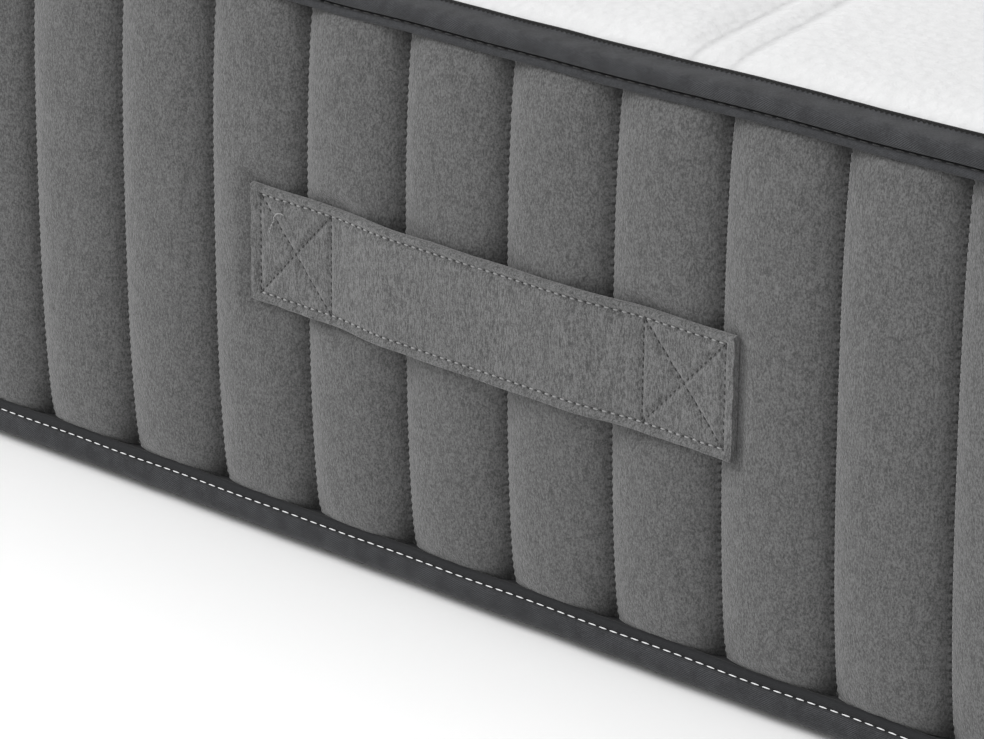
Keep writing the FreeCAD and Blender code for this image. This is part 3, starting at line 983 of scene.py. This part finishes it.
@dataclass
class Border:
    """The quilted border: one padded band of upright channels between the two tapes."""

    outline: Outline
    channels: Channels
    handles: list[Handle]
    columns: int = 16
    rows: int = 128
    block: int = 8
    slack: float = 2.0 * MM
    tuck: float = 3.0 * MM
    seam_in_end: float = 9.0 * MM
    seam_in_middle: float = 3.6 * MM
    crown: float = 8.9 * MM
    seam_arch: tuple[float, float] = (2.6, 0.7)
    across_arch: tuple[float, float] = (2.3, 0.62)
    upright_arch: tuple[float, float] = (25, 0.31)
    pucker: float = 0.32 * MM
    pucker_middle: float = 1.6 * MM
    pucker_width: float = 2.2 * MM
    fullness: float = 0.035
    crowding: float = 0.62
    settling_frames: int = 15
    give: float = 0.3
    most_give: float = 1.5 * MM
    back_rows: int = 4
    thread_out: float = 0.1 * MM

    def __post_init__(self) -> None:
        """Reads the border's height and depth from its CAD layers."""
        low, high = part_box("border_fabric")
        self.foot, self.head = low.z - self.tuck, high.z + self.tuck
        self.depth = self.outline.half_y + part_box("front_side_rail")[0].y - self.slack
        self.across = eased(self.columns, self.crowding)
        self.up = np.linspace(self.foot, self.head, self.rows + 1)
        self.stitch_gap = 2 * (self.head - self.foot) / self.rows

    def seam_out(self, up: Array) -> Array:
        """Where a seam lies, pulled in most at the tapes."""
        share = (up - self.foot) / (self.head - self.foot)
        swell = arch(share, *self.seam_arch)
        return -self.seam_in_end + (self.seam_in_end - self.seam_in_middle) * swell

    def pillow(self, share: Array, up: Array) -> Array:
        """How far a full channel stands out, for a share across it and a height."""
        rise = arch(share, *self.across_arch)
        level = (up - self.foot) / (self.head - self.foot)
        ends = arch(level, *self.upright_arch)
        return self.seam_out(up) + self.crown * rise * ends

    def quilted_block(self) -> tuple[Array, Array, Array]:
        """Settles the cloth of a few channels, sewn down along their seams and at both tapes.

        Returns:
            The vertices' distances along the block, out, and up, as tables of columns by rows.
        """
        rng = np.random.default_rng(7)
        fullness = 1 + self.fullness * rng.normal(size=self.block)
        column = np.arange(self.block * self.columns + 1)
        channel = np.minimum(column // self.columns, self.block - 1)
        share = self.across[column - channel * self.columns]
        along = (channel + share) * self.channels.pitch
        along, up = np.meshgrid(along, self.up, indexing="ij")
        out = self.pillow(share[:, None], up)
        seam = self.seam_out(up)
        out = seam + (out - seam) * fullness[channel][:, None]
        from_seam = np.minimum(share, 1 - share)[:, None] * self.channels.pitch
        between = np.where(np.arange(self.rows + 1) % 2, 1.0, -1.0)
        out += self.pucker * between * bump(from_seam - self.pucker_middle, self.pucker_width)
        mesh = shaped_grid(len(column) - 1, self.rows,
                           lambda c, r: np.stack([along[c, r], -out[c, r], up[c, r]], axis=-1))
        cloth = finished("quilt_block", mesh, Finish.STRAP.material())
        self.settle(cloth, column)
        moved = np.zeros(len(mesh.vertices) * 3, np.float32)
        cloth.data.vertices.foreach_get("co", moved)
        moved = moved.reshape(len(self.up), len(column), 3).transpose(1, 0, 2).astype(float)
        bpy.data.objects.remove(cloth)
        rest = np.stack([along, -out, up], axis=-1)
        shift = (moved - rest) * self.give
        far = np.linalg.norm(shift, axis=-1, keepdims=True)
        shift *= np.minimum(1, self.most_give / np.maximum(far, 1e-9))
        settled = rest + shift
        return settled[..., 0], -settled[..., 1], settled[..., 2]

    def settle(self, cloth: bpy.types.Object, column: Array) -> None:
        """Runs the cloth simulation on a block of channels and applies it."""
        sewn = cloth.vertex_groups.new(name="sewn")
        wide = len(column)
        pinned = [row * wide + c for row in range(self.rows + 1) for c in range(wide)
                  if c % self.columns == 0 or row in (0, self.rows)]
        sewn.add(pinned, 1.0, "REPLACE")
        modifier = cloth.modifiers.new("cloth", "CLOTH")
        settings = modifier.settings
        settings.quality = 6
        settings.mass = 0.15
        settings.tension_stiffness = settings.compression_stiffness = 12
        settings.shear_stiffness = 4
        settings.bending_stiffness = 2.0
        settings.vertex_group_mass = "sewn"
        settings.use_pressure = True
        settings.uniform_pressure_force = 2.5
        settings.shrink_min = -0.012
        settings.effector_weights.gravity = 0
        modifier.collision_settings.use_collision = False
        scene = bpy.context.scene
        for number in range(self.settling_frames):
            scene.frame_set(number + 1)
        bpy.context.view_layer.objects.active = cloth
        bpy.context.view_layer.update()
        settled = bpy.data.meshes.new_from_object(cloth.evaluated_get(bpy.context.evaluated_depsgraph_get()))
        cloth.modifiers.clear()
        cloth.data = settled

    def build(self) -> None:
        """Repeats the settled block round the outline, presses the handles in and closes the band."""
        block_along, block_out, block_up = self.quilted_block()
        per_block = self.block * self.columns
        blocks = self.channels.count // self.block
        total = self.channels.count * self.columns
        pitch = self.channels.pitch
        around = self.rows + self.back_rows

        def lay(column: Array, row: Array) -> tuple[Array, Array, Array]:
            """The vertices' distances along, out and up: the settled block in front, a flat back behind."""
            repeat, inside = np.divmod(column, per_block)
            line = np.minimum(row, self.rows)
            along = self.channels.first + repeat * self.block * pitch + block_along[inside, line]
            out, up = block_out[inside, line], block_up[inside, line]
            behind = (row > self.rows) & (row < around)
            share = (row - self.rows - 1) / (self.back_rows - 2)
            out = np.where(behind, -self.depth, np.where(row == around, block_out[inside, 0], out))
            up = np.where(behind, self.head + (self.foot - self.head) * share, up)
            up = np.where(row == around, block_up[inside, 0], up)
            return along, out, up

        def shape(column: Array, row: Array) -> Array:
            """The vertices' places, pressed in behind the handles."""
            along, out, up = lay(column, row)
            points = self.outline.place(along, out, up)
            for handle in self.handles:
                out = np.where(row <= self.rows, handle.hollow(points, out), out)
            return self.outline.place(along, out, up)

        def pattern(column: Array, row: Array) -> Array:
            """UV coordinates: along from the first seam, and up from the first stitch."""
            along, _, up = lay(column, row)
            return np.stack([along - self.channels.first, up - self.foot - self.stitch_gap / 4], axis=-1)

        LOG.info("border: %d blocks of %d channels", blocks, self.block)
        mesh = closed(shaped_grid(total, around, shape, pattern))
        # The border's cloth carries painted shade at its seams: in the creases, at the pinched ends and in
        # each stitch hole.
        cloth = MelangeCloth("border_cloth", dark=0.048, light=0.144, grain=0.8 * MM, fibre_depth=0.34 * MM,
                             seams=pitch, stitch=self.stitch_gap, height=self.head - self.foot)
        border = finished("quilted_border", mesh, cloth.make())
        wear(border, "root", "border_melange", "border_fabric", "border_foam", "border_fleece")
        squash_with_deck(border, self.foot)

    def sew(self, stitch: Stitch) -> None:
        """Sews each seam with its own row of small stitches, sunk between the channels."""
        ups = np.arange(self.foot + 2 * self.stitch_gap, self.head - self.tuck, self.stitch_gap)
        seams = self.channels.first + np.arange(self.channels.count) * self.channels.pitch
        along, ups = np.meshgrid(seams, ups, indexing="ij")
        outs = self.seam_out(ups)
        points = self.outline.place(along, outs, ups)
        for handle in self.handles:
            outs = handle.hollow(points, outs)
        points = self.outline.place(along, outs + self.thread_out, ups)
        outward = self.outline.place(along, 1.0, ups) - self.outline.place(along, 0.0, ups)
        places = lying(*(part.reshape(-1, 3) for part in (points[:, :-1], points[:, 1:], outward[:, :-1])))
        piece = stitch.row("border_stitches", places, Finish.SEAM_THREAD.material())
        wear(piece, "root", "seam_thread", "border_quilting_thread")
        squash_with_deck(piece, self.foot)


def squash_with_deck(piece: bpy.types.Object, anchor: float) -> None:
    """Reads how far the deck is pressed and gives a piece between the floor and the deck its own copy of its
    mesh.
    """
    travel = next(abs(joint["range_m"][0]) for joint in frame["joints"] if joint["name"] == "deck_press")
    top = max(vertex.co.z for vertex in piece.data.vertices)
    1 - travel / (top - anchor)
    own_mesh(piece)


# Tapes -----------------------------------------------------------------------------------------


class Edge(Enum):
    """The two taped edges of the mattress."""

    BOTTOM = "bottom"
    TOP = "top"


@dataclass
class Tape:
    """A folded twill tape sewn round one edge: a narrow leg, a stitched crease and a soft roll."""

    edge: Edge
    outline: Outline
    columns: int = 1100
    stitch_length: float = 4.2 * MM
    stitch_gap: float = 5.5 * MM
    thread: float = 0.58 * MM
    # Where the top tape's near-black inner band starts on its section: the dark woven edge, painted darker as
    # the shadow in the gap under the top panel.
    selvedge_and_gap_shadow: tuple[float, float] = (-9.2 * MM, 8.9 * MM)
    roll_sway: float = 0.2 * MM
    fine_sway: float = 0.07 * MM
    up_sway: float = 0.25 * MM

    def __post_init__(self) -> None:
        """Reads the tape's levels from its CAD nodes."""
        self.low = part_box(f"{self.edge.value}_tape_edge")[0].z
        thread_low, thread_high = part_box(f"{self.edge.value}_tape_stitching")
        self.crease = (thread_low.z + thread_high.z) / 2

    def section(self) -> tuple[Array, int]:
        """The tape's section, counterclockwise from inside, as distances out and up from the crease.

        Returns:
            The points, and the number of the one in the crease.
        """
        if self.edge is Edge.BOTTOM:
            foot = (self.low - self.crease) / MM
            roll = [(-12.5, foot + 1.2), (-8, foot + 1.5), (-3.8, foot + 2.2), (-0.9, foot + 3.4),
                    (1.1, foot + 5.5), (2.1, foot + 8.0), (2.2, foot + 10.5), (1.6, foot + 12.9),
                    (0.4, foot + 14.4)]
            leg = [(0.7, 0.7), (0.9, 1.75), (0.6, 3.0), (-0.3, 3.6), (-1.6, 3.5), (-3.5, 2.1), (-12.5, 0.4)]
            return np.array(roll + leg) * MM, len(roll) - 1
        leg = [(-12.5, -0.4), (-3.5, -2.1), (-1.6, -3.5), (-0.3, -3.6), (0.6, -3.0), (0.9, -1.6), (0.3, -0.4)]
        roll = [(-1.8, 0.2), (0.4, 1.2), (1.9, 3.1), (1.9, 5.4), (0.6, 7.3), (-2.0, 8.1), (-5.0, 8.3),
                (-7.6, 8.4), (-9.2, 8.9), (-10.4, 9.7), (-11.5, 9.2), (-12.5, 4.0)]
        return np.array(leg + roll) * MM, len(leg)

    def rounded_section(self, steps: int = 3) -> tuple[Array, int]:
        """The section as a smooth closed curve through its points, each stretch in a few steps."""
        points, crease = self.section()
        shares = (np.arange(steps) / steps)[None, :, None]
        p0, p1, p2, p3 = (np.roll(points, shift, axis=0)[:, None, :] for shift in (1, 0, -1, -2))
        curve = 0.5 * (2 * p1 + (p2 - p0) * shares + (2 * p0 - 5 * p1 + 4 * p2 - p3) * shares**2
                       + (3 * p1 - p0 - 3 * p2 + p3) * shares**3)
        return curve.reshape(-1, 2), crease * steps

    def sway(self, along: Array, lift: Array) -> tuple[Array, Array]:
        """The tape's small unevenness out and up at places along it, for heights above its crease."""
        length = self.outline.length
        seed = 11 if self.edge is Edge.TOP else 5
        roll = np.clip(np.abs(lift) / (8 * MM), 0, 1)
        out = self.roll_sway * ripples(along, length, range(30, 150, 8), seed) * roll
        out += self.fine_sway * ripples(along + lift * 1.5, length, range(200, 420, 14), seed + 1) * roll
        up = self.up_sway * ripples(along, length, range(20, 90, 6), seed + 2)
        if self.edge is Edge.BOTTOM:
            up = up * np.clip(1 + lift / (self.crease - self.low), 0, 1)
        return out, up

    def build(self) -> None:
        """Sweeps the section round the mattress."""
        section, crease = self.rounded_section()
        around = len(section)
        runs = np.diff(np.vstack([section, section[:1]]), axis=0)
        girth = np.concatenate([[0], np.cumsum(np.hypot(*runs.T))])
        girth -= girth[crease]
        step = self.outline.length / self.columns

        def shape(column: Array, row: Array) -> Array:
            """The vertices' places, along the tape and round its section."""
            along = column * step
            out, lift = section[row % around].T
            sway_out, sway_up = self.sway(along, lift)
            return self.outline.place(along, out + sway_out, self.crease + lift + sway_up)

        def pattern(column: Array, row: Array) -> Array:
            """UV coordinates: along the tape, and across it from the crease."""
            return np.stack([column * step, girth[row]], axis=-1)

        name, top = self.edge.value, self.edge is Edge.TOP
        # Only the top tape gets the near-black inner band, painted shadow in the gap under the top panel; the
        # bottom tape's start lies past its girth, so it has none.
        edge = np.argmin(np.hypot(*(section - self.selvedge_and_gap_shadow).T))
        selvedge_and_gap_shadow = float(girth[edge]) if top else 1.0
        # The leg is painted darker on the bottom tape, as shade under the border's bulge, and painted lighter
        # on the top tape.
        twill = TwillTape(f"{name}_tape_twill", dark=0.017, light=0.08, leg_side=-1 if top else 1,
                          selvedge_and_gap_shadow=selvedge_and_gap_shadow, leg_painted_shade=-0.1 if top else 0.2)
        mesh = closed(shaped_grid(self.columns, around, shape, pattern))
        tape = finished(f"{name}_tape", mesh, twill.make())
        wear(tape, "deck" if top else "root", "tape_twill", f"{name}_tape_edge",
             f"{name}_tape_seam_allowance")

    def sew(self) -> None:
        """Sews the crease with a row of long stitches."""
        count = int(self.outline.length / self.stitch_gap)
        pale = self.edge is Edge.BOTTOM
        stitch = Stitch(self.stitch_length, self.thread)
        along = (np.arange(count)[None, :] + np.array([[0.3], [0.7]])) / count * self.outline.length
        _, sway_up = self.sway(along, np.zeros(along.shape))
        ends = self.outline.place(along, (0.75 if pale else -0.3) * MM, self.crease + sway_up)
        outward = self.outline.place(along[0], 1.0, 0.0) - self.outline.place(along[0], 0.0, 0.0)
        finish = Finish.WHITE_THREAD if pale else Finish.DARK_THREAD
        name = self.edge.value
        piece = stitch.row(f"{name}_tape_stitches", lying(ends[0], ends[1], outward), finish.material())
        wear(piece, "root" if pale else "deck", "white_thread" if pale else "tape_thread",
             f"{name}_tape_stitching")


# Top and underside -----------------------------------------------------------------------------


@dataclass
class TopPanel:
    """The knitted top cover, quilted to its wadding in pairs of waving lines."""

    outline: Outline
    columns: int = 440
    rows: int = 196
    inset: float = 11.0 * MM
    edge_drop: float = 7.5 * MM
    edge_reach: float = 7 * MM
    swell: float = 3.0 * MM
    swell_reach: float = 60 * MM
    groove: float = 2.6 * MM
    groove_reach: float = 6.5 * MM
    groove_fade: float = 12 * MM
    unevenness: float = 0.4 * MM

    def __post_init__(self) -> None:
        """Reads the panel's levels from its CAD layers."""
        self.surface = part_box("top_cover_knit")[1].z
        self.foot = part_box("top_cover_backing")[0].z

    def flat_place(self, column: Array, row: Array) -> tuple[Array, Array]:
        """Where each vertex is, seen from above, inside the rounded outline."""
        half = np.array([self.outline.half_x, self.outline.half_y]) - self.inset
        radius = self.outline.radius - self.inset
        centre = half - radius
        x = (column / self.columns * 2 - 1) * half[0]
        y = (row / self.rows * 2 - 1) * half[1]
        over_x = np.maximum(np.abs(x) - centre[0], 0) / radius
        over_y = np.maximum(np.abs(y) - centre[1], 0) / radius
        round_x = over_x * np.sqrt(1 - over_y**2 / 2)
        round_y = over_y * np.sqrt(1 - over_x**2 / 2)
        x = np.sign(x) * (np.abs(x) - over_x * radius + round_x * radius)
        y = np.sign(y) * (np.abs(y) - over_y * radius + round_y * radius)
        return x, y

    def from_edge(self, x: Array, y: Array) -> Array:
        """The distance of each place from the panel's edge."""
        radius = self.outline.radius - self.inset
        far_x = np.abs(x) - (self.outline.half_x - self.outline.radius)
        far_y = np.abs(y) - (self.outline.half_y - self.outline.radius)
        outside = np.hypot(np.maximum(far_x, 0), np.maximum(far_y, 0))
        return radius - outside - np.minimum(np.maximum(far_x, far_y), 0)

    def build(self) -> None:
        """Builds the crowned panel and closes it underneath."""

        def shape(column: Array, row: Array) -> Array:
            """The vertices' places: crowned, dropping at the edge and drawn in along the lines."""
            x, y = self.flat_place(column, row)
            edge = self.from_edge(x, y)
            lift = self.swell * (1 - np.exp(-edge / self.swell_reach))
            lift -= self.edge_drop * np.exp(-edge / self.edge_reach)
            line = bump(Waves().from_line(x, y), self.groove_reach)
            lift -= self.groove * line * (1 - np.exp(-edge / self.groove_fade))
            lift += self.unevenness * ripples(x + 0.37 * y, 2 * self.outline.half_x, range(3, 40, 5), 3)
            return np.stack([x, y, self.surface + lift], axis=-1)

        mesh = shaped_grid(self.columns, self.rows, shape)
        bm = bmesh.new()
        bm.from_mesh(mesh)
        rim = [edge for edge in bm.edges if edge.is_boundary]
        grown = bmesh.ops.extrude_edge_only(bm, edges=rim)["geom"]
        for vertex in (item for item in grown if isinstance(item, bmesh.types.BMVert)):
            vertex.co.z = self.foot
        bm.to_mesh(mesh)
        bm.free()
        top = finished("top_panel", closed(mesh), Finish.TOP.material())
        wear(top, "deck", "top_knit", "top_cover_knit", "top_cover_wadding", "top_cover_backing")


@dataclass
class Underside:
    """The plain cloth stretched under the mattress."""

    outline: Outline
    inset: float = 12.0 * MM
    columns: int = 120
    rows: int = 54
    clearance: float = 0.1 * MM
    edge_rise: float = 1.2 * MM
    edge_reach: float = 8 * MM
    unevenness: float = 0.25 * MM

    def build(self) -> None:
        """Builds the cloth, slightly uneven and turned up at its edges, and gives it a thickness."""
        low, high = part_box("underside_fabric")
        panel = TopPanel(self.outline, self.columns, self.rows, self.inset)

        def shape(column: Array, row: Array) -> Array:
            """The vertices' places: almost flat, turned up at the edge."""
            x, y = panel.flat_place(column, row)
            edge = panel.from_edge(x, y)
            rise = self.edge_rise * np.exp(-edge / self.edge_reach)
            wave = ripples(x - 0.6 * y, 2 * self.outline.half_x, range(5, 60, 7), 9)
            rise += self.unevenness * (1 + wave) / 2
            return np.stack([x, y, low.z + self.clearance + np.maximum(rise, 0)], axis=-1)

        bm = bmesh.new()
        bm.from_mesh(shaped_grid(self.columns, self.rows, shape))
        bmesh.ops.solidify(bm, geom=bm.faces[:], thickness=-(high.z - low.z) / 2)
        mesh = bpy.data.meshes.new("underside")
        bm.to_mesh(mesh)
        bm.free()
        cloth = finished("underside_cloth", closed(mesh), Finish.UNDERSIDE.material())
        wear(cloth, "root", "underside_fabric", "underside_fabric")
        size = (2 * (self.outline.half_x - self.inset), 2 * (self.outline.half_y - self.inset))


class Inside:
    """The layers and springs that the covers hide, which keep their CAD shapes."""

    FINISHES = {
        Finish.FOAM: ("base_foam", "comfort_foam", "front_side_rail", "back_side_rail", "head_end_rail",
                      "foot_end_rail"),
        Finish.FELT: ("bottom_felt_pad", "top_felt_pad"),
        Finish.FLEECE: ("underside_fleece", "top_spring_scrim", "bottom_spring_scrim",
                        "handle_backing_patches", "spring_pockets"),
        Finish.STEEL: ("spring_coils",),
    }
    SQUASHED = ("rail", "spring_pockets", "spring_coils")

    def dress(self) -> None:
        """Gives each inner node its finish, and gives what stands between floor and deck its own copy of its
        mesh.
        """
        for finish, names in self.FINISHES.items():
            for label, node in frame["nodes"].items():
                if label.startswith(names):
                    node.data.materials.clear()
                    node.data.materials.append(finish.material())
        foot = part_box("bottom_felt_pad")[0].z
        for label, node in frame["nodes"].items():
            if any(word in label for word in self.SQUASHED):
                squash_with_deck(node, foot)


# Studio ----------------------------------------------------------------------------------------


@dataclass
class Studio:
    """A pale floor, a soft key light from the left, two broad fills and the camera."""

    aim: Vector
    camera_offset: Vector = field(default_factory=lambda: Vector((1.1389, -1.2078, 0.5814)))
    azimuth: float = -43.344
    elevation: float = -19.941
    lens: float = 166.13
    floor: float = 40.0
    sky: float = 0.58

    def camera(self) -> None:
        """Places the camera."""
        data = bpy.data.cameras.new("camera")
        data.lens = self.lens
        data.sensor_width = 36
        camera = bpy.data.objects.new("camera", data)
        camera.location = self.aim + self.camera_offset
        camera.rotation_euler = (math.radians(90 + self.elevation), 0, math.radians(-self.azimuth))
        bpy.context.scene.collection.objects.link(camera)
        bpy.context.scene.camera = camera

    def sun(self, name: str, offset: tuple, strength: float, spread: float) -> None:
        """Adds a soft light that comes from one side of the handle.

        Args:
            name: the light's name.
            offset: where it comes from, as seen from the handle.
            strength: its strength.
            spread: the angle it fills in the sky, in degrees.
        """
        data = bpy.data.lights.new(name, "SUN")
        data.energy = strength
        data.angle = math.radians(spread)
        light = bpy.data.objects.new(name, data)
        light.rotation_euler = (-Vector(offset)).to_track_quat("-Z", "Y").to_euler()
        bpy.context.scene.collection.objects.link(light)

    def build(self) -> None:
        """Builds the floor, the lights and the camera."""
        bm = bmesh.new()
        bmesh.ops.create_grid(bm, x_segments=8, y_segments=8, size=self.floor)
        mesh = bpy.data.meshes.new("floor")
        bm.to_mesh(mesh)
        bm.free()
        finished("floor", mesh, Finish.FLOOR.material())
        self.sun("key", offset=(-2.6, -1.5, 2.3), strength=1.95, spread=24)
        self.sun("fill", offset=(1.2, -3.2, 1.6), strength=0.66, spread=50)
        self.sun("above", offset=(0.2, 0.6, 3.2), strength=0.75, spread=60)
        world = bpy.data.worlds.new("studio")
        world.use_nodes = True
        background = world.node_tree.nodes["Background"]
        background.inputs["Color"].default_value = (1, 1, 1, 1)
        background.inputs["Strength"].default_value = self.sky
        scene = bpy.context.scene
        scene.world = world
        scene.view_settings.view_transform = "Standard"
        self.camera()


def build_handles(outline: Outline) -> list[Handle]:
    """The four handles, each hung a little differently."""
    tilts = {"front_foot": -0.9, "front_head": 0.5, "back_foot": 0.4, "back_head": -0.6}
    return [Handle(name, outline, tilt) for name, tilt in tilts.items()]


def main() -> None:
    """Builds every piece in order."""
    logging.basicConfig(level=logging.INFO, format="%(message)s")
    outline = Outline.of_node("border_fabric")
    channels = Channels.of_node(outline, "border_quilting_thread")
    handles = build_handles(outline)
    border = Border(outline, channels, handles)
    border.build()
    border.sew(Stitch(length=2.4 * MM, thickness=0.7 * MM, segments=4, rings=4))
    edge_stitch = Stitch(length=2.3 * MM, thickness=0.8 * MM)
    box_stitch = Stitch(length=1.8 * MM, thickness=1.05 * MM)
    for handle in handles:
        handle.build(edge_stitch, box_stitch)
    LooseThread(handles[0]).build(Stitch(length=1.4 * MM, thickness=0.6 * MM))
    for edge in Edge:
        tape = Tape(edge, outline)
        tape.build()
        tape.sew()
    TopPanel(outline).build()
    Underside(outline).build()
    Inside().dress()
    Studio(handles[0].aim).build()


if __name__ == "__main__":
    main()
